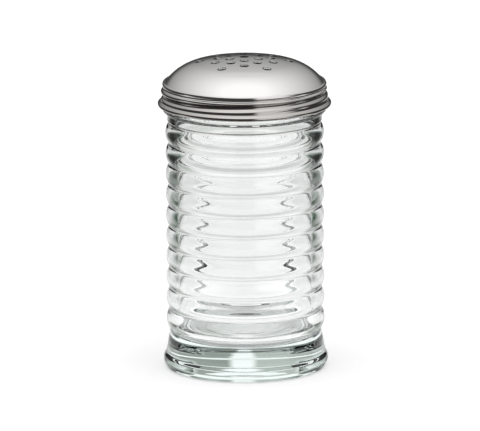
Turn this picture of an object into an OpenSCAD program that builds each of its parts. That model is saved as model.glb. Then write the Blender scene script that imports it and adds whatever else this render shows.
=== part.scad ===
/* [Glass body] */
// Radius of the finish, the glass wall that carries the thread; all other glass and the lid follow it
finish_r = 35.2; // [28:0.1:42]
// Thickness of the glass at the finish, which sets the bore
wall_t = 4.2; // [3:0.1:6]
// How far the crests of the ribs stand out past the finish
rib_over = 0.2; // [0:0.1:3]
// Number of ribs, one above the other
rib_count = 10; // [4:1:16]
// Height of one rib
rib_pitch = 9.4; // [7:0.1:12]
// How far the valleys between the ribs lie inside their crests
rib_depth = 1.8; // [0.8:0.1:2.2]
// How far the bore swings out and in as it follows the ribs
bore_wave = 0.4; // [0:0.05:0.6]
// Number of ribs, from the top, inside which the bore stays smooth
smooth_ribs = 2; // [1:1:4]
// Thickness of the heavy glass floor at the middle
floor_t = 13.5; // [8:0.1:22]
// Radius of the corner between the bore and its floor
floor_round = 7; // [2:0.1:12]

/* [Foot] */
// Height of the plain foot below the lowest rib
foot_h = 17.6; // [12:0.1:26]
// How far the foot's bead, the widest glass, stands out past the ribs
foot_over = 1.3; // [0.8:0.1:5]
// Radius of the bead's rounded edge
foot_round = 4; // [2:0.1:5.5]
// How far the foot's slope stands out past the ribs where it runs into the bead
slope_over = 0.5; // [0:0.1:1.2]
// Width of the ring of glass that the foot stands on
stand_w = 5.7; // [3:0.1:15]
// Depth of the hollow inside that ring, at its middle
push_up_h = 1.6; // [0.5:0.1:3]

/* [Neck and finish] */
// How far the plain neck above the ribs lies inside the finish
neck_in = 0.7; // [0:0.1:1.2]
// Height of the neck between the top rib and the collar
neck_h = 4.5; // [3:0.1:8]
// How far the glass collar below the lid stands out past the finish
collar_over = 1.6; // [0.8:0.1:1.8]
// Radius of the collar's rounded edge
collar_round = 1.6; // [1:0.1:1.8]
// Height of the finish above the middle of the collar
finish_h = 11.65; // [10.9:0.05:14]
// Radius of the rounded rim
rim_round = 1.3; // [0.6:0.1:1.8]
// Width of the bevel inside the mouth
mouth_bevel = 0.8; // [0.3:0.1:1.4]

/* [Screw thread] */
// Rise of the thread in one turn
thread_pitch = 4.2; // [3.6:0.1:5]
// Height of the glass thread over the finish
thread_h = 1.1; // [0.7:0.05:1.3]
// Width of the glass thread where it leaves the finish
thread_root_w = 2.2; // [1.4:0.1:2.4]
// Width of the glass thread at its crest
thread_crest_w = 0.6; // [0.3:0.05:1]
// Turns of thread on the glass
thread_turns = 1.2; // [1:0.05:1.4]
// How far the upper end of the glass thread lies below the rim
thread_lead = 3; // [2.6:0.1:4]
// How far the lid's thread lies below the middle of its lip, at the front
thread_drop = 2.05; // [1.6:0.05:2.5]

/* [Lid] */
// Thickness of the pressed steel sheet
sheet_t = 0.6; // [0.4:0.05:0.8]
// Height of the dome over the middle of the lip
dome_h = 12.1; // [10:0.1:16]
// Radius of curvature of the dome's crown
crown_r = 100; // [70:1:130]
// Radius of curvature of the dome's shoulder
shoulder_r = 23.5; // [20:0.1:27]
// How far the lip below the dome stands out past the groove of the rolled band
lip_over = 0.45; // [0.3:0.05:1]
// Radius of the lip's rounded section
lip_round = 1.3; // [1:0.05:1.4]
// Height from the middle of the lip down to the lid's lower edge
skirt_h = 9.8; // [9.4:0.1:11]
// How far the curled hem, the widest of all, stands out past the rolled thread
hem_over = 1.45; // [1.1:0.05:3]
// Radius of the curled hem's round section
hem_round = 1.05; // [0.8:0.05:1.1]

/* [Shaker holes] */
// Diameter of each hole
hole_d = 4; // [2:0.1:5]
// Distance from one hole to the next along a spoke
hole_step = 7.4; // [6.4:0.1:7.8]
// Number of spokes in the pattern of holes
spokes = 6; // [5:1:6]

/* [Fits] */
// Gap between the lid's thread and the crest of the glass thread
thread_clear = 0.35; // [0.2:0.05:0.5]
// Gap between the lid's thread and the finish of the glass
finish_clear = 0.35; // [0.2:0.05:0.5]
// Gap between the glass rim and the underside of the dome
seat_gap = 0.15; // [0.05:0.05:0.3]
// Gap between the lid's skirt and its hem
hem_gap = 0.05; // [0.02:0.01:0.1]

/* [Hidden] */
$fn = 96;

// Steps round the circle of the swept threads
turn_steps = 72;
// Steps up one wave of the bore
wave_steps = 10;
// Levels in the rolled band of the lid
band_steps = 13;
// Overrun of every cut and of every buried seam
overrun = 0.5;
// Width by which the plain rings above and below the rolled band hide its ends
seam = 0.2;

// Radii of the glass, which follow its finish
bore_r = finish_r - wall_t;
neck_r = finish_r - neck_in;
collar_r = finish_r + collar_over;
rib_r = finish_r + rib_over;
valley_r = rib_r - rib_depth;
core_r = valley_r - rib_depth / 2;
rib_section_r = (rib_depth * rib_depth + rib_pitch * rib_pitch / 4) / (2 * rib_depth);
foot_r = rib_r + foot_over;
slope_r = rib_r + slope_over;
push_up_r = foot_r - foot_round - stand_w;

// Heights of the glass, from the table up
ribs_top_z = foot_h + rib_count * rib_pitch;
collar_z = ribs_top_z + neck_h + collar_round;
rim_z = collar_z + finish_h;

// Heights between which the bore follows the ribs
waves_low_z = floor_t + floor_round;
waves_top_z = ribs_top_z - smooth_ribs * rib_pitch;

// Radii of the lid, which follow the finish and its thread
groove_r = finish_r + finish_clear + sheet_t;
bulge_r = finish_r + thread_h + thread_clear + sheet_t;
lip_r = groove_r + lip_over;
hem_r = bulge_r + hem_over;

// The dome's outline over the middle of the lip: a crown that runs into a shoulder at a tangent
dome_end = [lip_r - lip_round / 2, 0];
crown_mid = [0, dome_h - crown_r];
to_end = dome_end - crown_mid;
end_dist = norm(to_end);
mid_dist = crown_r - shoulder_r;
along = (mid_dist * mid_dist - shoulder_r * shoulder_r + end_dist * end_dist) / (2 * end_dist);
across = sqrt(mid_dist * mid_dist - along * along);
shoulder_mid = crown_mid + (to_end * along + [-to_end[1], to_end[0]] * across) / end_dist;
tangent_r = crown_r * shoulder_mid[0] / mid_dist;

// The lid sits where the shoulder's underside clears the rounded rim by the seat gap
rim_reach = shoulder_r - sheet_t - seat_gap - rim_round;
rim_offset = finish_r - rim_round - shoulder_mid[0];
rim_drop = shoulder_mid[1] + sqrt(rim_reach * rim_reach - rim_offset * rim_offset);
lip_z = rim_z - rim_round - rim_drop;

// How far the band's top lies below the middle of the lip, as a share of the lip's section radius
band_top_share = 0.75;
// How far the flare meets the hem above its middle, and the flare's height, as shares of its section radius
hem_flat_share = 0.7;
flare_share = 1.25;
// Share of the band's height over which its thread runs out at either end
blend_share = 0.2;

// The band between the lip and the flare, and the hem below it
band_top_z = lip_z - lip_round * band_top_share;
hem_z = lip_z - skirt_h + hem_round;
hem_mid_r = hem_r - hem_round;
split_z = hem_z + hem_round * hem_flat_share;
band_low_z = split_z + hem_round * flare_share;
ring_top_z = band_top_z + seam / 2;
ring_low_z = band_low_z - seam / 2;
blend_h = (band_top_z - band_low_z) * blend_share;

// The glass thread lies in the bulge of the lid's thread; turns count from the front
helix_z = lip_z - thread_drop;
thread_end = (rim_z - thread_lead - helix_z) / thread_pitch;
thread_start = thread_end - thread_turns;
// Share of the glass thread's length over which it tapers at either end, and its least height there
fade_share = 0.06;
least_share = 0.05;

// Rings of shaker holes: distance from the middle in steps, and place between the spokes
near_share = 1.6;
far_share = 2.7;
hole_ring_shares = [[1, 0], [2, 0], [near_share, 0.5], [far_share, 0.5]];

// Smooth step from 0 to 1
function ease(t) = let (c = min(1, max(0, t))) c * c * (3 - 2 * c);

// Radius of the bore at a height: wavy between the floor's corner and the smooth ribs
function bore_at(z) =
    let (phase = (z - foot_h) / rib_pitch - 0.5)
    let (below_smooth = ease((waves_top_z - z) / rib_pitch + 0.5))
    let (above_floor = ease((z - waves_low_z) / rib_pitch))
    bore_r + bore_wave * below_smooth * above_floor * cos(phase * 360);

// A point at a radius, a height and a share of a turn from the front
function place(r, z, turn) = [r * sin(turn * 360), -r * cos(turn * 360), z];

// Outer radius of the rolled band at a height and a turn
function band_r(z, turn) =
    let (phase = (z - helix_z) / thread_pitch - turn)
    let (wave = (bulge_r + groove_r) / 2 + (bulge_r - groove_r) / 2 * cos(phase * 360))
    let (at_top = ease((band_top_z - z) / blend_h))
    let (at_foot = ease((z - band_low_z) / blend_h))
    let (upper = groove_r + (wave - groove_r) * at_top)
    bulge_r + (upper - bulge_r) * at_foot;

// Solid through a row of rings, each a closed loop of as many points
module sweep(rings, closed) {
    n = len(rings);
    m = len(rings[0]);
    last = closed ? n - 1 : n - 2;
    sides = [
        for (i = [0 : last], k = [0 : m - 1])
            let (a = i * m + k)
            let (b = i * m + (k + 1) % m)
            let (c = ((i + 1) % n) * m + (k + 1) % m)
            let (d = ((i + 1) % n) * m + k)
            each [[a, b, c], [a, c, d]]
    ];
    first_cap = [for (k = [1 : m - 2]) [0, k + 1, k]];
    last_cap = [for (k = [1 : m - 2]) [(n - 1) * m, (n - 1) * m + k, (n - 1) * m + k + 1]];
    points = [for (ring = rings) each ring];
    polyhedron(points, closed ? sides : concat(sides, first_cap, last_cap), convexity = 6);
}

// Half outline of the glass: foot, ribs, neck, collar and finish
module jar_outline() {
    polygon([
        [0, 0],
        [foot_r - foot_round, 0],
        [foot_r - foot_round, foot_round],
        [slope_r, foot_round],
        [valley_r, foot_h],
        [core_r, foot_h],
        [core_r, ribs_top_z],
        [valley_r, ribs_top_z],
        [neck_r, ribs_top_z + rib_depth / 2],
        [neck_r, collar_z - 2 * collar_round],
        [collar_r - collar_round / 2, collar_z - collar_round / 2],
        [finish_r, collar_z],
        [finish_r, rim_z - rim_round],
        [finish_r - rim_round, rim_z - rim_round],
        [finish_r - rim_round, rim_z],
        [0, rim_z]
    ]);
    translate([foot_r - foot_round, foot_round]) circle(foot_round);
    translate([collar_r - collar_round, collar_z]) circle(collar_round);
    translate([finish_r - rim_round, rim_z - rim_round]) circle(rim_round);
    for (i = [0 : rib_count - 1]) {
        translate([rib_r - rib_section_r, foot_h + (i + 0.5) * rib_pitch]) circle(rib_section_r);
    }
}

// Half outline of the bore, with a rounded floor, a wavy wall and a bevelled mouth
module bore_outline() {
    waves_end_z = waves_top_z + rib_pitch / 2;
    steps = ceil((waves_end_z - waves_low_z) / rib_pitch * wave_steps);
    heights = [for (k = [0 : steps]) waves_low_z + (waves_end_z - waves_low_z) * k / steps];
    translate([0, floor_t]) square([bore_r - floor_round, floor_round]);
    translate([bore_r - floor_round, floor_t + floor_round]) circle(floor_round);
    polygon([
        [0, waves_low_z],
        for (z = heights) [bore_at(z), z],
        [bore_r, rim_z + overrun],
        [0, rim_z + overrun]
    ]);
    polygon([
        [0, rim_z - mouth_bevel],
        [bore_r, rim_z - mouth_bevel],
        [bore_r + mouth_bevel + overrun, rim_z + overrun],
        [0, rim_z + overrun]
    ]);
}

// Right-handed ridge round the finish, tapering away at both ends
module jar_thread() {
    steps = ceil(turn_steps * thread_turns);
    root_r = finish_r - overrun;
    rings = [
        for (i = [0 : steps])
            let (share = i / steps)
            let (turn = thread_start + thread_turns * share)
            let (z = helix_z + thread_pitch * turn)
            let (grown = ease(min(share, 1 - share) / fade_share))
            let (crest_r = root_r + (overrun + thread_h) * max(grown, least_share))
            [
                place(root_r, z - thread_root_w / 2, turn),
                place(crest_r, z - thread_crest_w / 2, turn),
                place(crest_r, z + thread_crest_w / 2, turn),
                place(root_r, z + thread_root_w / 2, turn)
            ]
    ];
    sweep(rings, false);
}

// Shallow hollow under the base, cut by a large sphere
module push_up() {
    ball_r = (push_up_r * push_up_r + push_up_h * push_up_h) / (2 * push_up_h);
    translate([0, 0, push_up_h - ball_r]) sphere(ball_r);
}

module glass_jar() {
    color([0.82, 0.9, 0.87, 0.45]) difference() {
        union() {
            rotate_extrude() jar_outline();
            jar_thread();
        }
        rotate_extrude() bore_outline();
        push_up();
    }
}

// Filled half outline of the lid above its band, drawn in from the outside by a sheet thickness
module crown_outline(inset) {
    intersection() {
        translate([0, lip_z]) square([tangent_r, dome_h]);
        translate([0, lip_z + crown_mid[1]]) circle(crown_r - inset);
    }
    intersection() {
        translate([tangent_r, lip_z]) square([lip_r - tangent_r, dome_h]);
        translate([shoulder_mid[0], lip_z + shoulder_mid[1]]) circle(shoulder_r - inset);
    }
    translate([lip_r - lip_round, lip_z]) circle(lip_round - inset);
    translate([0, lip_z - lip_round]) square([lip_r - lip_round, lip_round]);
}

// The dome with its hollow lip, pressed from one sheet, down to the plain ring on the rolled band
module crown() {
    ring_in_r = groove_r - sheet_t - seam;
    rotate_extrude() difference() {
        union() {
            crown_outline(0);
            translate([ring_in_r, ring_top_z]) square([sheet_t + 2 * seam, lip_z - ring_top_z]);
        }
        crown_outline(sheet_t);
        translate([0, lip_z - lip_round]) square([ring_in_r, lip_round]);
        translate([0, ring_top_z - lip_round]) square([lip_r, lip_round]);
    }
}

// Rolled right-handed thread between the lip and the flare
module band() {
    low_z = band_low_z - 2 * seam;
    high_z = band_top_z + 2 * seam;
    levels = [for (k = [0 : band_steps]) low_z + (high_z - low_z) * k / band_steps];
    rings = [
        for (i = [0 : turn_steps - 1])
            let (turn = i / turn_steps)
            [
                for (k = [0 : band_steps]) place(band_r(levels[k], turn), levels[k], turn),
                for (k = [band_steps : -1 : 0]) place(band_r(levels[k], turn) - sheet_t, levels[k], turn)
            ]
    ];
    sweep(rings, true);
}

// Flared skirt from the plain ring under the band down to the hem
module flare() {
    ring_in_r = bulge_r - sheet_t - seam;
    rotate_extrude() polygon([
        [ring_in_r, ring_low_z],
        [ring_in_r, ring_low_z - 2 * seam],
        [hem_mid_r - sheet_t / 2, split_z + hem_gap],
        [hem_mid_r + sheet_t / 2, split_z + hem_gap],
        [bulge_r + seam, ring_low_z - 2 * seam],
        [bulge_r + seam, ring_low_z]
    ]);
}

// Holes punched square to the crown, in rings on the spokes and between them
module shaker_holes() {
    translate([0, 0, lip_z + crown_mid[1]]) {
        hole_cut(0, 0);
        for (ring = hole_ring_shares, i = [0 : spokes - 1]) {
            hole_cut(ring[0] * hole_step, (i + ring[1]) * 360 / spokes);
        }
    }
}

// One hole at a distance from the middle and an angle from the front
module hole_cut(from_mid, angle) {
    rotate([0, 0, angle - 90])
        rotate([0, asin(from_mid / crown_r), 0])
            translate([0, 0, crown_r - 4 * sheet_t])
                cylinder(d = hole_d, h = 6 * sheet_t);
}

module shaker_lid() {
    color("silver") difference() {
        union() {
            crown();
            band();
            flare();
        }
        shaker_holes();
    }
}

// Curled edge of the lid, with a flat top where the flare meets it
module lid_hem() {
    color("gainsboro") rotate_extrude() intersection() {
        translate([hem_mid_r, hem_z]) circle(hem_round);
        translate([hem_mid_r - hem_round, hem_z - hem_round])
            square([2 * hem_round, split_z - hem_z + hem_round]);
    }
}

glass_jar();
shaker_lid();
lid_hem();
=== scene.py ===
"""Looks of the parmesan shaker: its ribbed glass jar, its perforated screw lid and a studio."""
import math

import bmesh
import bpy
import numpy as np
from bpy.props import FloatProperty, FloatVectorProperty, IntProperty, PointerProperty
from mathutils import Matrix, Vector
from mathutils.geometry import delaunay_2d_cdt


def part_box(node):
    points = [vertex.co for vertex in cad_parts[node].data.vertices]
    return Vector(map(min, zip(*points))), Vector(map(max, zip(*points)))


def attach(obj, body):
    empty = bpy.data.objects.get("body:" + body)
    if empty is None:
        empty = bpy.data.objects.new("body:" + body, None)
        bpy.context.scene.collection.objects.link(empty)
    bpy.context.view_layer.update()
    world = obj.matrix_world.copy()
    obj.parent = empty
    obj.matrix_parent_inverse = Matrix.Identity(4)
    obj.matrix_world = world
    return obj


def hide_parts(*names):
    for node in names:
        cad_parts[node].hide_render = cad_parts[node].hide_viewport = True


bl_info = {
    "name": "Parmesan Shaker",
    "version": (1, 0, 0),
    "blender": (4, 5, 0),
    "location": "View3D > Sidebar > Shaker",
    "description": "Builds a ribbed glass shaker jar, its perforated screw lid and a plain studio",
    "category": "Add Mesh",
}

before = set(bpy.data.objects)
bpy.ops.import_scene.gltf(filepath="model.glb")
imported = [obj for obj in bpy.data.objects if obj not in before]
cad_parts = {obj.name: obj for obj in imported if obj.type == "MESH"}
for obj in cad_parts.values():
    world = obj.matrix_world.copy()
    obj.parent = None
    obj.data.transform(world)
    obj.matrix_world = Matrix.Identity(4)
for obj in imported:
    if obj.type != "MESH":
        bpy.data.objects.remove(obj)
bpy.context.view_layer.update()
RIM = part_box("glass_jar")[1].z
CROWN_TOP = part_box("shaker_lid")[1].z
HEM_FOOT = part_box("lid_hem")[0].z

MM = 0.001
TURN = 2 * math.pi
WHITE = (1.0, 1.0, 1.0, 1.0)

# Lengths that differ by less than a hair count as the same. The punch rounds a hole's edge.
HAIR = 0.01 * MM
PUNCH_EDGE = 0.1 * MM

# How finely the outlines and rings are divided.
JAR_TURNS = 240
RIB_STEPS = 20
JAR_GAP, FINISH_GAP, BORE_GAP = 0.9 * MM, 0.22 * MM, 0.6 * MM
LID_TURNS = 288
BAND_ROWS = 64
DOME_STEPS = 26
HOLE_SIDES = 36
CROWN_GAP = 0.85 * MM


class JarSizes(bpy.types.PropertyGroup):
    """Sizes and colours of the glass jar."""

    rib_radius: FloatProperty(
        name="Rib radius", description="Radius of the glass at the crest of every rib",
        default=35.4 * MM, unit="LENGTH")
    rib_count: IntProperty(
        name="Ribs", description="Number of ribs, one above the other", default=10, min=1)
    rib_pitch: FloatProperty(
        name="Rib pitch", description="Height of one rib", default=9.4 * MM, unit="LENGTH")
    rib_depth: FloatProperty(
        name="Rib depth", description="How far the valleys lie inside the crests",
        default=1.8 * MM, unit="LENGTH")
    valley_blend: FloatProperty(
        name="Valley softness", description="Width over which two ribs melt into one another",
        default=0.8 * MM, unit="LENGTH")
    foot_radius: FloatProperty(
        name="Foot radius", description="Radius of the bead round the foot",
        default=36.8 * MM, unit="LENGTH")
    foot_height: FloatProperty(
        name="Foot height", description="Height of the plain foot below the lowest rib",
        default=17.6 * MM, unit="LENGTH")
    hollow_radius: FloatProperty(
        name="Hollow radius", description="Radius of the hollow under the base",
        default=27 * MM, unit="LENGTH")
    hollow_height: FloatProperty(
        name="Hollow height", description="Height of the hollow's middle over the table",
        default=1.6 * MM, unit="LENGTH")
    floor_height: FloatProperty(
        name="Floor height", description="Height of the inside floor over the table",
        default=13.5 * MM, unit="LENGTH")
    floor_round: FloatProperty(
        name="Floor rounding", description="Radius of the corner between bore and floor",
        default=7 * MM, unit="LENGTH")
    bore_radius: FloatProperty(
        name="Bore radius", description="Radius of the inside of the glass, midway along its wave",
        default=31 * MM, unit="LENGTH")
    bore_wave: FloatProperty(
        name="Bore wave", description="How far the inside follows the lower ribs, out and in",
        default=0.4 * MM, unit="LENGTH")
    neck_radius: FloatProperty(
        name="Neck radius", description="Radius of the plain neck above the ribs",
        default=34.5 * MM, unit="LENGTH")
    finish_radius: FloatProperty(
        name="Finish radius", description="Radius of the glass wall that carries the thread",
        default=35.2 * MM, unit="LENGTH")
    thread_height: FloatProperty(
        name="Thread height", description="How far the glass thread stands out",
        default=1.1 * MM, unit="LENGTH")
    thread_half_width: FloatProperty(
        name="Thread half width", description="Half the width of the glass thread at its root",
        default=1.15 * MM, unit="LENGTH")
    collar_radius: FloatProperty(
        name="Collar radius", description="Radius of the collar just below the lid",
        default=36.8 * MM, unit="LENGTH")
    collar_height: FloatProperty(
        name="Collar height", description="Height of the collar's middle over the table",
        default=117.7 * MM, unit="LENGTH")
    tint: FloatVectorProperty(
        name="Tint", description="Colour that light takes on in thick glass",
        default=(0.7, 0.93, 0.88), subtype="COLOR", size=3, min=0, max=1)
    tint_density: FloatProperty(
        name="Tint density", description="How fast thick glass takes on its tint",
        default=5.0, min=0)


class LidSizes(bpy.types.PropertyGroup):
    """Sizes and colours of the steel lid."""

    sheet: FloatProperty(
        name="Sheet", description="Thickness of the pressed steel",
        default=0.6 * MM, unit="LENGTH")
    crown_radius: FloatProperty(
        name="Crown curve", description="Radius of curvature of the crown",
        default=100 * MM, unit="LENGTH")
    shoulder_radius: FloatProperty(
        name="Shoulder curve", description="Radius of curvature of the shoulder",
        default=23.5 * MM, unit="LENGTH")
    lip_radius: FloatProperty(
        name="Lip radius", description="Radius of the lid at its lip",
        default=36.6 * MM, unit="LENGTH")
    lip_round: FloatProperty(
        name="Lip rounding", description="Radius of the lip's round section",
        default=1.3 * MM, unit="LENGTH")
    dome_height: FloatProperty(
        name="Dome height", description="Height of the crown over the lip",
        default=12.1 * MM, unit="LENGTH")
    thread_pitch: FloatProperty(
        name="Thread pitch", description="Rise of the thread in one turn",
        default=4.2 * MM, unit="LENGTH")
    thread_drop: FloatProperty(
        name="Thread drop", description="How far the rolled thread lies below the lip at the front",
        default=2.05 * MM, unit="LENGTH")
    groove_radius: FloatProperty(
        name="Groove radius", description="Radius of the rolled band between its bulges",
        default=36.15 * MM, unit="LENGTH")
    bulge_radius: FloatProperty(
        name="Bulge radius", description="Radius of the rolled thread at its crest",
        default=37.25 * MM, unit="LENGTH")
    hem_radius: FloatProperty(
        name="Hem radius", description="Outer radius of the curled edge",
        default=38.7 * MM, unit="LENGTH")
    hem_round: FloatProperty(
        name="Hem rounding", description="Radius of the curl's section",
        default=1.05 * MM, unit="LENGTH")
    hole_diameter: FloatProperty(
        name="Hole diameter", description="Diameter of each shaker hole",
        default=4.0 * MM, unit="LENGTH")
    hole_step: FloatProperty(
        name="Hole step", description="Distance between holes along a spoke",
        default=7.4 * MM, unit="LENGTH")
    spokes: IntProperty(
        name="Spokes", description="Spokes in the pattern of holes", default=6, min=1)
    steel: FloatVectorProperty(
        name="Steel", description="Colour of the polished steel",
        default=(0.73, 0.72, 0.71), subtype="COLOR", size=3, min=0, max=1)
    # Painted shade: the band below the lip takes this darker copy of the steel colour.
    band_painted_shade: FloatVectorProperty(
        name="Band", description="Colour of the less polished band with the thread",
        default=(0.5, 0.485, 0.465), subtype="COLOR", size=3, min=0, max=1)
    # Painted shade: this dark steel colour stands in for the shade inside the closed lid.
    painted_inside_shade: FloatVectorProperty(
        name="Inside", description="Colour of the unpolished inside of the lid",
        default=(0.1, 0.1, 0.095), subtype="COLOR", size=3, min=0, max=1)
    # The painted shade inside the lid, and its unpolished steel, reach this far below the lip.
    inside_depth: FloatProperty(
        name="Inside depth", description="How far below the lip the inside is unpolished",
        default=6 * MM, unit="LENGTH")


class StudioSizes(bpy.types.PropertyGroup):
    """Camera, table and cards."""

    distance: FloatProperty(
        name="Camera distance", description="From the lens to the shaker's axis",
        default=3.0, unit="LENGTH")
    aim_height: FloatProperty(
        name="Aim height", description="Height on the axis that the camera looks at",
        default=68.42 * MM, unit="LENGTH")
    pitch: FloatProperty(
        name="Camera pitch", description="How far the camera looks down",
        default=math.radians(12.5), subtype="ANGLE")
    roll: FloatProperty(
        name="Camera roll", description="How far the camera leans",
        default=math.radians(-0.35), subtype="ANGLE")
    sideways: FloatProperty(
        name="Sideways", description="How far the camera stands to the left of the axis",
        default=2.3 * MM, unit="LENGTH")
    lens: FloatProperty(
        name="Lens", description="Focal length in millimetres", default=503.1)
    table_half_width: FloatProperty(
        name="Table half width", description="Half the width of the white table",
        default=0.6, unit="LENGTH")
    table_front: FloatProperty(
        name="Table front", description="How far the white table reaches in front of the shaker",
        default=0.3, unit="LENGTH")
    table_back: FloatProperty(
        name="Table back", description="How far the white table reaches behind the shaker",
        default=1.0, unit="LENGTH")
    table_drop: FloatProperty(
        name="Table drop", description="Room between the foot and the white table",
        default=0.02 * MM, unit="LENGTH")
    table_colour: FloatVectorProperty(
        name="Table colour", description="Colour of the white table",
        default=(0.9, 0.9, 0.9), subtype="COLOR", size=3, min=0, max=1)
    card_away: FloatProperty(
        name="Card distance", description="From the shaker's axis to each dark card",
        default=0.085, unit="LENGTH")
    card_low: FloatProperty(
        name="Card low", description="Height of the dark cards' lower edge",
        default=0.06, unit="LENGTH")
    card_high: FloatProperty(
        name="Card high", description="Height of the dark cards' upper edge",
        default=0.18, unit="LENGTH")
    card_front: FloatProperty(
        name="Card front", description="How far behind the axis the dark cards begin",
        default=0.025, unit="LENGTH")
    card_back: FloatProperty(
        name="Card back", description="How far behind the axis the dark cards end",
        default=0.19, unit="LENGTH")


def put(tree, socket, value):
    """Links a field to a socket, or sets the socket to a constant."""
    if isinstance(value, Field):
        tree.links.new(value.socket, socket)
    else:
        socket.default_value = value


class Field:
    """A value that varies over a surface. Arithmetic on it adds Math nodes to its tree."""

    def __init__(self, shader, socket):
        self.shader = shader
        self.socket = socket

    def math(self, operation, *terms):
        """A Math node of that operation on the terms."""
        return self.shader.add("Math", {"operation": operation}, dict(enumerate(terms)))

    def __add__(self, other):
        return self.math("ADD", self, other)

    __radd__ = __add__

    def __sub__(self, other):
        return self.math("SUBTRACT", self, other)

    def __rsub__(self, other):
        return self.math("SUBTRACT", other, self)

    def __mul__(self, other):
        return self.math("MULTIPLY", self, other)

    __rmul__ = __mul__

    def __truediv__(self, other):
        return self.math("DIVIDE", self, other)

    def __abs__(self):
        return self.math("ABSOLUTE", self)

    def step(self, low, high):
        """Smooth step from 0 at low to 1 at high."""
        return self.shader.add(
            "MapRange", {"interpolation_type": "SMOOTHSTEP"},
            {0: self, 1: low, 2: high, 3: 0.0, 4: 1.0})

    def least(self, other):
        """The smaller of two values."""
        return self.math("MINIMUM", self, other)

    def most(self, other):
        """The larger of two values."""
        return self.math("MAXIMUM", self, other)


class Shader:
    """Builds the node tree of one material or of the world."""

    def __init__(self, owner):
        owner.use_nodes = True
        self.owner = owner
        self.tree = owner.node_tree
        self.tree.nodes.clear()

    def node(self, kind, settings=None, inputs=None):
        """Adds a node of a kind with its settings, then the values or links of its sockets."""
        node = self.tree.nodes.new("ShaderNode" + kind)
        for name, value in (settings or {}).items():
            setattr(node, name, value)
        for name, value in (inputs or {}).items():
            put(self.tree, node.inputs[name], value)
        return node

    def add(self, kind, settings=None, inputs=None, output=0):
        """One output of a new node."""
        return Field(self, self.node(kind, settings, inputs).outputs[output])

    def noise(self, place, scale, detail, roughness=0.5):
        """Cloudy noise from 0 to 1 over a place, with so many spots to the metre."""
        return self.add("TexNoise", None, {
            "Vector": place, "Scale": scale, "Detail": detail, "Roughness": roughness})

    def blend(self, share, first, second):
        """One colour passing into another."""
        return self.add("Mix", {"data_type": "RGBA"}, {0: share, 6: first, 7: second}, 2)

    def place(self, space="Object"):
        """The place on the surface, in the piece's own coordinates or another set."""
        return self.add("TexCoord", output=space)

    def parts(self, vector):
        """The three numbers of a vector."""
        return [Field(self, out) for out in self.node("SeparateXYZ", None, {0: vector}).outputs]

    def rays(self):
        """What sees the surface: 1 for the camera, for a mirror, and for a ray through glass."""
        path = self.node("LightPath").outputs
        glass = Field(self, path["Is Transmission Ray"])
        mirror = Field(self, path["Is Glossy Ray"]) * (1 - glass)
        return Field(self, path["Is Camera Ray"]), mirror, glass

    def finish(self, kind, **sockets):
        """Links shaders to the output node of a material or of the world."""
        self.node("Output" + kind, None, sockets)
        return self.owner


def colour(rgb):
    """A colour with full alpha."""
    return (*rgb, 1.0)


def ease(t):
    """Smooth step from 0 to 1, on numbers or arrays."""
    c = np.clip(t, 0.0, 1.0)
    return c * c * (3 - 2 * c)


def arc(middle, radius, start, end, steps):
    """Points (r, z) on an arc, from one angle in degrees to another."""
    angles = np.radians(np.linspace(start, end, steps + 1))
    return [(middle[0] + radius * math.cos(a), middle[1] + radius * math.sin(a)) for a in angles]


def rounded(corners, steps=8):
    """Points (r, z) through corners (r, z, rounding). The two ends stay sharp."""
    points = [corners[0][:2]]
    for before, here, after in zip(corners, corners[1:], corners[2:]):
        corner = Vector(here[:2])
        back = (Vector(before[:2]) - corner).normalized()
        ahead = (Vector(after[:2]) - corner).normalized()
        half = back.angle(ahead) / 2
        reach = here[2] / math.tan(half)
        middle = corner + (back + ahead).normalized() * here[2] / math.sin(half)
        first, last = corner + back * reach - middle, corner + ahead * reach - middle
        swing = first.angle_signed(last)
        for k in range(steps + 1):
            spoke = Matrix.Rotation(-swing * k / steps, 2) @ first
            points.append(tuple(middle + spoke))
    points.append(corners[-1][:2])
    return points


def spaced(points, gap):
    """The same outline with points added so that no step is longer than the gap."""
    out = [points[0]]
    for (r, z), (next_r, next_z) in zip(points, points[1:]):
        steps = max(1, math.ceil(math.dist((r, z), (next_r, next_z)) / gap))
        for k in range(1, steps + 1):
            out.append((r + (next_r - r) * k / steps, z + (next_z - z) * k / steps))
    return out


def ring(radius, height, share):
    """Points round the axis at shares of a turn from the front. The radius may change with it."""
    angle = share * TURN
    return list(zip(radius * np.sin(angle), -radius * np.cos(angle), np.full(len(share), height)))


def strip(first, second):
    """Faces between two closed loops of point numbers."""
    ends = list(zip(first, second))
    return [(a, c, d, b) for (a, b), (c, d) in zip(ends, ends[1:] + ends[:1])]


def strips(loops):
    """Faces between each closed loop of point numbers and the next."""
    return [face for first, second in zip(loops, loops[1:]) for face in strip(first, second)]


def fan(tip, loop):
    """Faces between one point and a closed loop of point numbers."""
    return [(tip, after, here) for here, after in zip(loop, [*loop[1:], loop[0]])]


def lathe(name, outline, turns, shape):
    """A closed mesh turned from an outline that starts and ends on the axis. shape(r, z, share)
    gives the radius round the turn."""
    share = np.arange(turns) / turns
    co = [(0, 0, outline[0][1])]
    for r, z in outline[1:-1]:
        co += ring(shape(r, z, share), z, share)
    co.append((0, 0, outline[-1][1]))
    last = len(co) - 1
    loops = [range(start, start + turns) for start in range(1, last, turns)]
    return solid(name, co, fan(0, loops[0]) + strips(loops) + fan(last, loops[-1]))


def solid(name, co, faces):
    """A smooth object from points and faces, with its normals turned outwards."""
    mesh = bpy.data.meshes.new(name)
    mesh.from_pydata([tuple(map(float, point)) for point in co], [], faces)
    made = bmesh.new()
    made.from_mesh(mesh)
    bmesh.ops.remove_doubles(made, verts=made.verts, dist=HAIR / 100)
    bmesh.ops.recalc_face_normals(made, faces=made.faces)
    for face in made.faces:
        face.smooth = True
    made.to_mesh(mesh)
    made.free()
    return place_object(name, mesh)


def place_object(name, data):
    """A new object in the scene."""
    piece = bpy.data.objects.new(name, data)
    bpy.context.scene.collection.objects.link(piece)
    return piece


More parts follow.
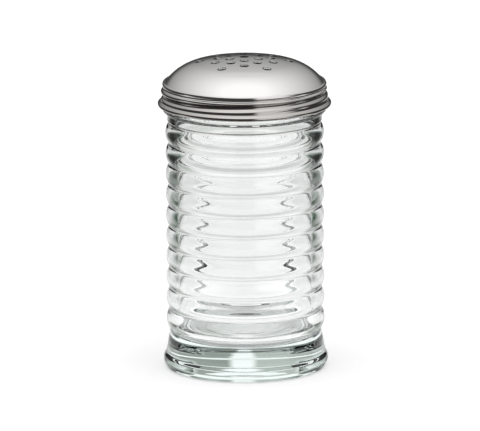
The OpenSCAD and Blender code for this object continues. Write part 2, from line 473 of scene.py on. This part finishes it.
def jar_outline(sizes):
    """Half outline of the glass from axis to axis: hollow base, foot, ribs, neck, finish, bore."""
    valley = sizes.rib_radius - sizes.rib_depth
    ribs_top = sizes.foot_height + sizes.rib_count * sizes.rib_pitch
    outside = [(sizes.hollow_radius * s, sizes.hollow_height * (1 - s * s))
               for s in np.linspace(0, 1, 12)]
    outside += foot_points(sizes, valley)
    outside += rib_points(sizes)
    outside += neck_points(sizes, valley, ribs_top)
    return spaced(outside, JAR_GAP) + finish_points(sizes) + bore_points(sizes, ribs_top)


def foot_points(sizes, valley):
    """Points (r, z) from the edge of the hollow round the foot's bead up to the lowest rib."""
    bead = sizes.foot_radius
    return rounded([
        (sizes.hollow_radius, 0, 0),
        (bead - 1.6 * MM, 0, 0.6 * MM),
        (bead - 0.9 * MM, 1.4 * MM, 1.2 * MM),
        (bead, 3.0 * MM, 1.6 * MM),
        (bead - 0.1 * MM, 5.3 * MM, 1.6 * MM),
        (bead - 1.1 * MM, 6.8 * MM, 2.0 * MM),
        (valley + 0.2 * MM, sizes.foot_height - 0.3 * MM, 0)])[1:]


def rib_points(sizes):
    """Points (r, z) up the round ribs, whose valleys are filled a little."""
    pitch, fill = sizes.rib_pitch, 0.9
    section = (sizes.rib_depth ** 2 + pitch ** 2 / 4) / (2 * sizes.rib_depth)
    points = []
    for rib in range(sizes.rib_count):
        for k in range(RIB_STEPS):
            up = (k + 0.5) / RIB_STEPS - 0.5
            r = sizes.rib_radius - section + math.sqrt(section ** 2 - (up * pitch) ** 2)
            gap = (1 - 2 * abs(up)) * pitch
            lift = (math.hypot(gap, sizes.valley_blend) - gap) / 2
            points.append((r + lift * fill, sizes.foot_height + (rib + 0.5 + up) * pitch))
    return points


def neck_points(sizes, valley, ribs_top):
    """Points (r, z) up the neck, out to the collar and in to the finish."""
    neck, collar, height = sizes.neck_radius, sizes.collar_radius, sizes.collar_height
    return rounded([
        (valley + 0.3 * MM, ribs_top + 0.1 * MM, 0),
        (neck + 0.1 * MM, ribs_top + 1.2 * MM, 0.8 * MM),
        (neck + 0.3 * MM, height - 1.9 * MM, 0.9 * MM),
        (collar - 0.4 * MM, height - 0.8 * MM, 0.6 * MM),
        (collar, height + 0.2 * MM, 0.6 * MM),
        (collar - 0.6 * MM, height + 1.5 * MM, 0.5 * MM),
        (sizes.finish_radius, height + 1.7 * MM, 0)])


def finish_points(sizes):
    """Points (r, z) up the finish and over the rim, close enough together for the thread."""
    return spaced(rounded([
        (sizes.finish_radius, sizes.collar_height + 1.9 * MM, 0),
        (sizes.finish_radius, RIM, 1.3 * MM),
        (sizes.bore_radius, RIM, 0.9 * MM),
        (sizes.bore_radius, RIM - 3 * MM, 0)]), FINISH_GAP)


def bore_points(sizes, ribs_top):
    """Points (r, z) down the bore and along the floor. It follows all but the top two ribs."""
    top, low = ribs_top - 2 * sizes.rib_pitch, sizes.floor_height + sizes.floor_round
    corners = [
        (sizes.bore_radius, RIM - 3.5 * MM, 0),
        (sizes.bore_radius, sizes.floor_height, sizes.floor_round),
        (0, sizes.floor_height, 0)]
    points = []
    for r, z in spaced(rounded(corners, 16), BORE_GAP):
        if r > sizes.bore_radius - HAIR:
            turn = (z - sizes.foot_height) / sizes.rib_pitch - 0.5
            grown = ease((top - z) / sizes.rib_pitch + 0.5) * ease((z - low) / sizes.rib_pitch)
            r = float(r + sizes.bore_wave * grown * math.cos(turn * TURN))
        points.append((r, z))
    return points


def glass_thread(jar, lid):
    """A function that raises the finish into the glass thread, inside the lid's rolled thread."""
    turns, run_in, steepness = 1.2, 0.06, 1.15
    middle = lip_height(lid) - lid.thread_drop
    end = (RIM - 3 * MM - middle) / lid.thread_pitch
    start = end - turns

    def shape(r, z, share):
        radius = np.full(len(share), r)
        if r < jar.finish_radius - HAIR or z < jar.collar_height + 1.8 * MM:
            return radius
        for whole in range(-4, 3):
            along = share + whole
            near = 1 - np.abs(z - middle - lid.thread_pitch * along) / jar.thread_half_width
            grown = ease((along - start) / run_in) * ease((end - along) / run_in)
            radius = np.maximum(radius, r + jar.thread_height * ease(near * steepness) * grown)
        return radius

    return shape


def clear_glass(jar):
    """Clear pressed glass: faintly wavy, green where it is thick."""
    shader = Shader(bpy.data.materials.new("clear_pressed_glass"))
    waves = shader.noise(shader.place(), 90.0, 1.0, 0.4)
    bump = shader.add("Bump", None, {"Strength": 0.25, "Distance": 0.06 * MM, "Height": waves})
    surface = shader.add("BsdfPrincipled", None, {
        "Base Color": WHITE,
        "Roughness": 0.0,
        "IOR": 1.52,
        "Transmission Weight": 1.0,
        "Normal": bump})
    depth = shader.add("VolumeAbsorption", None, {
        "Color": colour(jar.tint), "Density": jar.tint_density})
    return shader.finish("Material", Surface=surface, Volume=depth)


def polished_steel(lid):
    """Stainless sheet with fine rub marks: bright on the dome, and a darker copy of its colour
    painted as shade on the band below it.
    """
    shader = Shader(bpy.data.materials.new("polished_stainless_steel"))
    place = shader.place()
    _, _, z = shader.parts(place)
    lip = lip_height(lid)
    # The band below the lip gets painted shade: a darker steel colour.
    band = 1 - z.step(lip - 2.5 * MM, lip - 0.5 * MM)
    smear = shader.noise(place, 70.0, 3.0, 0.6)
    grain = shader.noise(place, 2600.0, 2.0, 0.7)
    bump = shader.add("Bump", None, {"Strength": 0.06, "Distance": 0.05 * MM, "Height": grain})
    surface = shader.add("BsdfPrincipled", None, {
        "Base Color": shader.blend(band, colour(lid.steel), colour(lid.band_painted_shade)),
        "Metallic": 1.0,
        "Roughness": 0.06 + 0.06 * smear + 0.04 * grain,
        "Normal": bump})
    return shader.finish("Material", Surface=surface)


def dull_steel_painted_shade(lid):
    """The unpolished inside of the lid, which shows through the shaker holes. Its dark colour is
    painted shade inside the closed lid; its roughness is the unpolished steel.
    """
    shader = Shader(bpy.data.materials.new("dull_steel_painted_shade"))
    patches = shader.noise(shader.place(), 160.0, 3.0)
    # The dark base colour is painted shade inside the lid; the rough patches are the unpolished
    # steel.
    return shader.finish("Material", Surface=shader.add("BsdfPrincipled", None, {
        "Base Color": colour(lid.painted_inside_shade),
        "Metallic": 1.0,
        "Roughness": 0.5 + 0.2 * patches}))


def lip_height(lid):
    """Height of the lip's middle over the table."""
    return CROWN_TOP - lid.dome_height


class Dome:
    """The dome's outside: a crown curve that passes at a tangent into the shoulder's tighter one.
    Middles of curves are (r, height over the lip)."""

    def __init__(self, lid):
        self.lip = lip_height(lid)
        self.end = lid.lip_radius - lid.lip_round / 2
        self.crown_radius, self.shoulder_radius = lid.crown_radius, lid.shoulder_radius
        self.crown = (0, lid.dome_height - lid.crown_radius)
        start = Vector(self.crown)
        to_end = Vector((self.end, 0)) - start
        reach = lid.crown_radius - lid.shoulder_radius
        along = reach ** 2 - lid.shoulder_radius ** 2 + to_end.length_squared
        along /= 2 * to_end.length
        across = math.sqrt(reach ** 2 - along ** 2)
        sideways = Vector((-to_end.y, to_end.x))
        self.shoulder = start + (to_end * along + sideways * across) / to_end.length
        self.tangent = lid.crown_radius * self.shoulder.x / reach

    def height(self, r):
        """Height over the lip at a distance from the axis."""
        r = min(r, self.end)
        if r < self.tangent:
            return self.crown[1] + math.sqrt(self.crown_radius ** 2 - r ** 2)
        rest = self.shoulder_radius ** 2 - (r - self.shoulder.x) ** 2
        return self.shoulder.y + math.sqrt(max(rest, 0))

    def point(self, x, y, depth):
        """A point over (x, y), a depth below the outside along its normal."""
        r = math.hypot(x, y)
        z = self.height(r)
        middle = self.crown if r < self.tangent else self.shoulder
        out = Vector((r - middle[0], z - middle[1])).normalized()
        share = (r - out.x * depth) / r if r > 0 else 1.0
        return (x * share, y * share, self.lip + z - out.y * depth)

    def angle(self, r):
        """Angle in degrees round the shoulder's middle at a distance from the axis."""
        return math.degrees(math.acos((r - self.shoulder.x) / self.shoulder_radius))

    def shoulder_arc(self, depth, start, end):
        """Points (r, z) on the shoulder, a depth below its outside, between two angles."""
        middle = (self.shoulder.x, self.lip + self.shoulder.y)
        return arc(middle, self.shoulder_radius - depth, start, end, DOME_STEPS)


def hole_places(lid):
    """Places (x, y) of the shaker holes: one in the middle, and rings round it. Each ring has its
    distance in hole steps, and its turn from the spokes in shares of their angle."""
    rings = [(1, 0), (2, 0), (1.6, 0.5), (2.7, 0.5)]
    places = [(0.0, 0.0)]
    for steps, between in rings:
        away = steps * lid.hole_step
        for spoke in range(lid.spokes):
            angle = (spoke + between) * TURN / lid.spokes
            places.append((away * math.sin(angle), -away * math.cos(angle)))
    return places


def band_radius(lid, z, share, top, low):
    """Outer radius of the rolled band at a height, at shares of a turn from the front."""
    middle = lip_height(lid) - lid.thread_drop
    blend = (top - low) * 0.2
    phase = (z - middle) / lid.thread_pitch - share
    mean = (lid.bulge_radius + lid.groove_radius) / 2
    wave = mean + (lid.bulge_radius - lid.groove_radius) / 2 * np.cos(phase * TURN)
    upper = lid.groove_radius + (wave - lid.groove_radius) * ease((top - z) / blend)
    return lid.bulge_radius + (upper - lid.bulge_radius) * ease((z - low) / blend)


def make_lid_mesh(lid):
    """One closed sheet: perforated dome, hollow lip, rolled thread, flared skirt and curled hem."""
    dome = Dome(lid)
    share = np.arange(LID_TURNS) / LID_TURNS
    crown_edge = 26.6 * MM
    shoulder_start, shoulder_end = dome.angle(crown_edge), dome.angle(dome.end)
    # Degrees by which the shoulder stops short of the lip, outside and inside.
    short_outside, short_inside = 1.5, 2.5
    lip_middle, lip_start, lip_end = (lid.lip_radius - lid.lip_round, dome.lip), 52, -42
    curl_middle = (lid.hem_radius - lid.hem_round, HEM_FOOT + lid.hem_round)
    curl_start, curl_end, curl_inside_end = 62, -228, 80
    top = dome.lip - 0.75 * lid.lip_round
    low = curl_middle[1] + 1.95 * lid.hem_round
    band = [(band_radius(lid, z, share, top, low), z)
            for z in np.linspace(top - 0.1 * MM, low, BAND_ROWS)]
    skirt = rounded([
        (lid.bulge_radius, low, 0),
        (lid.bulge_radius + 0.05 * MM, low - 0.5 * MM, 0.6 * MM),
        (curl_middle[0] + 0.42 * MM, curl_middle[1] + 0.98 * lid.hem_round, 0)], 6)[1:]
    outside = dome.shoulder_arc(0, shoulder_start, shoulder_end + short_outside)
    outside += arc(lip_middle, lid.lip_round, lip_start, lip_end, 14)
    outside += band + skirt
    outside += arc(curl_middle, lid.hem_round, curl_start, curl_end, 34)
    inside = arc(curl_middle, lid.hem_round - lid.sheet, curl_end, curl_inside_end, 26)
    inside.append((lid.bulge_radius - lid.sheet, low))
    inside += [(radius - lid.sheet, z) for radius, z in reversed(band)]
    inside += arc(lip_middle, lid.lip_round - lid.sheet, lip_end, lip_start, 10)
    inside += dome.shoulder_arc(lid.sheet, shoulder_end + short_inside, shoulder_start)

    co = [point for radius, z in outside + inside for point in ring(radius, z, share)]
    faces = strips([range(start, start + LID_TURNS) for start in range(0, len(co), LID_TURNS)])
    add_crown(lid, dome, co, faces)
    return solid("lid_shell", co, faces)


def circle(middle, radius, lead=0.0):
    """Points (x, y) round the middle of a hole. The lead turns them, in shares of a step."""
    angles = [TURN * k / HOLE_SIDES + lead * TURN / HOLE_SIDES for k in range(HOLE_SIDES)]
    return [(middle[0] + radius * math.cos(a), middle[1] + radius * math.sin(a)) for a in angles]


def crown_plan(border, places, opening):
    """The crown in plan: points (x, y), triangles, and the point numbers round each opening.
    Two more rings of points round each keep the shading even, and a grid fills the rest."""
    flat = [Vector(point[:2]) for point in border]
    edges = [(k, (k + 1) % len(border)) for k in range(len(border))]
    starts = []
    for place in places:
        start = len(flat)
        starts.append(start)
        edges += [(start + k, start + (k + 1) % HOLE_SIDES) for k in range(HOLE_SIDES)]
        flat += map(Vector, circle(place, opening))
        for wider in (0.25 * MM, 0.6 * MM):
            flat += map(Vector, circle(place, opening + wider, 0.5))

    def clearance(x, y):
        return min(math.hypot(x - a, y - b) for a, b in places) - opening

    limit = math.hypot(*border[0][:2]) - 0.7 * CROWN_GAP
    rows = int(limit / CROWN_GAP) + 1
    for row in range(-rows, rows + 1):
        for column in range(-rows, rows + 1):
            x = (column + 0.5 * (row % 2)) * CROWN_GAP
            y = row * CROWN_GAP * math.sqrt(0.75)
            if math.hypot(x, y) < limit and clearance(x, y) > 1.1 * MM:
                flat.append(Vector((x, y)))
    points, _, triangles, origins, _, _ = delaunay_2d_cdt(flat, edges, [], 0, 1e-9)
    number = {old: new for new, olds in enumerate(origins) for old in olds}
    # Slivers that reach less than half an edge into an opening stay.
    kept = []
    for triangle in triangles:
        middle = sum((points[k] for k in triangle), Vector((0, 0))) / 3
        if clearance(*middle) > -PUNCH_EDGE / 2:
            kept.append(triangle)
    return points, kept, [[number[start + k] for k in range(HOLE_SIDES)] for start in starts]


def add_crown(lid, dome, co, faces):
    """Adds both sides of the perforated crown inside the first ring, and the walls of its holes,
    whose upper edges the punch has drawn in."""
    hole, edge, burr = lid.hole_diameter / 2, PUNCH_EDGE, 0.04 * MM
    places = hole_places(lid)
    points, triangles, openings = crown_plan(co[:LID_TURNS], places, hole + edge)
    bases = []
    for depth in (0.0, lid.sheet):
        base = len(co)
        bases.append(base)
        co += [dome.point(p.x, p.y, depth) for p in points]
        faces += [tuple(base + k for k in triangle) for triangle in triangles]
    wall = [(hole + edge * (1 - math.sin(a)), edge * (1 - math.cos(a)))
            for a in np.linspace(0, math.pi / 2, 6)[1:]]
    wall += [(hole, lid.sheet - burr), (hole + 0.05 * MM, lid.sheet)]
    for place, opening in zip(places, openings):
        loops = [[bases[0] + k for k in opening]]
        for radius, depth in wall:
            loops.append(range(len(co), len(co) + HOLE_SIDES))
            co += [dome.point(x, y, depth) for x, y in circle(place, radius)]
        loops.append([bases[1] + k for k in opening])
        faces += strips(loops)


def is_inside(lid, face):
    """Whether a face is on the unpolished inside that is painted in shade, from the dome down into
    the band.
    """
    middle, out = face.center, face.normal
    away, least = middle.xy.length, 0.3
    faces_in = middle.xy.dot(out.xy) < -least * away or out.z < -least
    high = middle.z > lip_height(lid) - lid.inside_depth
    return high and faces_in and away < lid.lip_radius - 0.3 * MM


class SHAKER_OT_jar(bpy.types.Operator):
    """Build the ribbed glass jar"""

    bl_idname = "shaker.jar"
    bl_label = "Glass Jar"

    def execute(self, context):
        jar, lid = context.scene.shaker_jar, context.scene.shaker_lid
        glass = lathe("jar_glass", jar_outline(jar), JAR_TURNS, glass_thread(jar, lid))
        glass.data.materials.append(clear_glass(jar))
        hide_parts("glass_jar")
        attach(glass, "jar")
        return {"FINISHED"}


class SHAKER_OT_lid(bpy.types.Operator):
    """Build the perforated steel lid"""

    bl_idname = "shaker.lid"
    bl_label = "Steel Lid"

    def execute(self, context):
        lid = context.scene.shaker_lid
        shell = make_lid_mesh(lid)
        shell.data.materials.append(polished_steel(lid))
        # The second material paints shade on the inside of the lid.
        shell.data.materials.append(dull_steel_painted_shade(lid))
        for face in shell.data.polygons:
            face.material_index = int(is_inside(lid, face))
        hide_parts("shaker_lid", "lid_hem")
        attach(shell, "lid")
        return {"FINISHED"}


def flat_piece(name, corners, material):
    """A single face with a material, for the stage."""
    mesh = bpy.data.meshes.new(name)
    mesh.from_pydata(corners, [], [(0, 1, 2, 3)])
    mesh.materials.append(material)
    return place_object(name, mesh)


def white_table(studio):
    """White paper with the shaker's shadow. Seen through the glass it darkens towards its sides,
    and glows close to the foot. The steel sees it dark in front and beside the shaker."""
    dark_in_glass, dark_in_steel = (0.0, 0.05, 0.01, 1.0), (0.06, 0.05, 0.045, 1.0)
    glow_on_camera, glow_in_glass, glow_near = 0.3, 0.15, 0.3
    shader = Shader(bpy.data.materials.new("white_table"))
    camera, mirror, glass = shader.rays()
    x, y, _ = shader.parts(shader.place())
    # The lit stretch widens away from the shaker, and takes in all of the table in front.
    lit_half_width = 0.17 + 0.25 * abs(y)
    spread = abs(x) / lit_half_width * y.step(-0.05, 0.12)
    lit = (1 - spread.step(0.5, 1.35)) * (1 - 0.35 * abs(y).step(0.1, 0.9))
    seen_dark = mirror * (1 - lit * y.step(-0.12, -0.02))
    tone = shader.blend(1 - glass * (1 - lit), dark_in_glass, colour(studio.table_colour))
    tone = shader.blend(seen_dark, tone, dark_in_steel)
    paper = shader.add("BsdfDiffuse", None, {"Color": tone})
    # Steps on squares of distances: the glow ends 0.12 m out, and is weak under the foot's front.
    square = x * x + y * y
    under_front = (0 - y).step(0.01, 0.02) * (1 - square.step(0.0013, 0.0018))
    near = (1 - square.step(0.003, 0.015)) * (1 - 0.8 * under_front)
    strength = glow_on_camera * camera + glow_in_glass * glass * lit + glow_near * glass * near
    glow = shader.add("Emission", None, {"Color": WHITE, "Strength": strength})
    return shader.finish("Material", Surface=shader.add("AddShader", None, {0: paper, 1: glow}))


def dark_card(name, studio, side):
    """A dark card at one side, behind the jar. Only glass shows it: it darkens the sides of the
    upper ribs, and its lower edge is paler."""
    pale, darker, fade = 0.45, 0.42, 0.02
    away, low, high = side * studio.card_away, studio.card_low, studio.card_high
    front, back = studio.card_front, studio.card_back
    shader = Shader(bpy.data.materials.new(name))
    _, _, z = shader.parts(shader.place())
    glow = shader.add("Emission", None, {
        "Color": (0.9, 1.0, 0.93, 1.0), "Strength": pale - darker * z.step(low, low + fade)})
    card = flat_piece(
        name, [(away, front, low), (away, back, low), (away, back, high), (away, front, high)],
        shader.finish("Material", Surface=glow))
    card.visible_camera = card.visible_diffuse = card.visible_glossy = False
    card.visible_shadow = card.visible_volume_scatter = False


def studio_world(world):
    """Plain white to the camera. The shaker sees a dim room with a bright ceiling and a soft box at
    the front right, and glass also sees a backdrop behind the shaker. Directions are in degrees:
    the turn from straight behind to the right, and the height over the horizon."""
    room_level, box_level, ceiling_level, ceiling_gain, ceiling_most = 0.06, 0.95, 0.35, 0.0138, 1.3
    left_level, right_level, column_level, wing_level = 0.52, 0.35, 1.08, 0.95
    low_level, low_fade = 0.8, 0.75
    glass_drop, steel_drop, steel_lead = 14, 32, 6
    degree, lean = 360 / TURN, math.radians(18)
    shader = Shader(world)
    x, y, z = shader.parts(shader.place("Generated"))
    camera, mirror, glass = shader.rays()
    height = z.math("ARCSINE", z) * degree
    turn = x.math("ARCTAN2", x, y) * degree
    off = abs(turn)

    # The ceiling is brightest overhead and in front, where it begins higher up.
    tilted = z.math("ARCSINE", z * math.cos(lean) - y * math.sin(lean)) * degree
    front = off.step(80, 150) * (glass_drop - glass_drop * mirror)
    front = front + off.step(30, 110) * (steel_drop * mirror)
    ceiling = (ceiling_level + ceiling_gain * tilted).least(ceiling_most).most(0.0)
    ceiling = ceiling * (height - front + steel_lead * mirror).step(8, 21)
    box = turn.step(98, 125) * (1 - turn.step(158, 170)) * (1 - height.step(45, 60))
    room = room_level + ceiling * (1 - box) + box_level * box

    # The backdrop has a bright column, pale wings high up and a low stretch that fades sideways.
    column = 1 - abs(turn - 1.5).step(3.5, 8)
    wing = off.step(26, 33) * (1 - off.step(115, 130)) * height.step(13, 19)
    wing = wing * (1 - height.step(34, 42))
    side = left_level - (left_level - right_level) * turn.step(-8, 8)
    raised = side + column * (column_level - side) + wing * (wing_level - side)
    lifted = height.step(3, 9)
    backdrop = (low_level - low_fade * off.step(3, 45)) * (1 - lifted) + raised * lifted
    behind = (1 - off.step(115, 140)) * glass

    light = room + (backdrop - room) * behind
    strength = light * (1 - camera) + camera
    hue = shader.blend(strength + (1 - glass), (0.86, 1.0, 0.87, 1.0), WHITE)
    return shader.finish("World", Surface=shader.add("Background", None, {
        "Color": hue, "Strength": strength}))


class SHAKER_OT_studio(bpy.types.Operator):
    """Build the camera, the white table and the light"""

    bl_idname = "shaker.studio"
    bl_label = "Studio"

    def execute(self, context):
        scene, studio = context.scene, context.scene.shaker_studio
        wide, front, back = studio.table_half_width, -studio.table_front, studio.table_back
        table = flat_piece(
            "white_table", [(-wide, front, 0), (wide, front, 0), (wide, back, 0), (-wide, back, 0)],
            white_table(studio))
        table.location.z = -studio.table_drop
        dark_card("left_card", studio, -1)
        dark_card("right_card", studio, 1)
        scene.world = studio_world(bpy.data.worlds.new("studio"))
        lens = bpy.data.cameras.new("camera")
        lens.lens = studio.lens
        lens.sensor_width = 36
        lens.clip_start = 0.05
        camera = place_object("camera", lens)
        camera.location = (
            -studio.sideways,
            -studio.distance * math.cos(studio.pitch),
            studio.aim_height + studio.distance * math.sin(studio.pitch))
        look_down = Matrix.Rotation(math.pi / 2 - studio.pitch, 3, "X")
        camera.rotation_euler = (look_down @ Matrix.Rotation(studio.roll, 3, "Z")).to_euler()
        scene.camera = camera
        scene.view_settings.view_transform = "Standard"
        return {"FINISHED"}


GROUPS = {"shaker_jar": JarSizes, "shaker_lid": LidSizes, "shaker_studio": StudioSizes}
OPERATORS = {
    "shaker_jar": SHAKER_OT_jar, "shaker_lid": SHAKER_OT_lid, "shaker_studio": SHAKER_OT_studio}


class SHAKER_PT_panel(bpy.types.Panel):
    """Lists the shaker's pieces and their sizes"""

    bl_label = "Parmesan Shaker"
    bl_idname = "SHAKER_PT_panel"
    bl_space_type = "VIEW_3D"
    bl_region_type = "UI"
    bl_category = "Shaker"

    def draw(self, context):
        for group, operator in OPERATORS.items():
            box = self.layout.box()
            box.operator(operator.bl_idname)
            owner = getattr(context.scene, group)
            for name in owner.bl_rna.properties.keys():
                if name not in {"rna_type", "name"}:
                    box.prop(owner, name)


def register():
    """Registers the classes and puts their settings on the scene."""
    for cls in (*GROUPS.values(), *OPERATORS.values(), SHAKER_PT_panel):
        bpy.utils.register_class(cls)
    for name, group in GROUPS.items():
        setattr(bpy.types.Scene, name, PointerProperty(type=group))


def unregister():
    """Takes the settings and the classes away again."""
    for name in GROUPS:
        delattr(bpy.types.Scene, name)
    for cls in (SHAKER_PT_panel, *OPERATORS.values(), *GROUPS.values()):
        bpy.utils.unregister_class(cls)


def main():
    """Registers the settings, then builds the jar, the lid and the studio in order."""
    register()
    bpy.ops.shaker.jar()
    bpy.ops.shaker.lid()
    bpy.ops.shaker.studio()


if __name__ == "__main__":
    main()
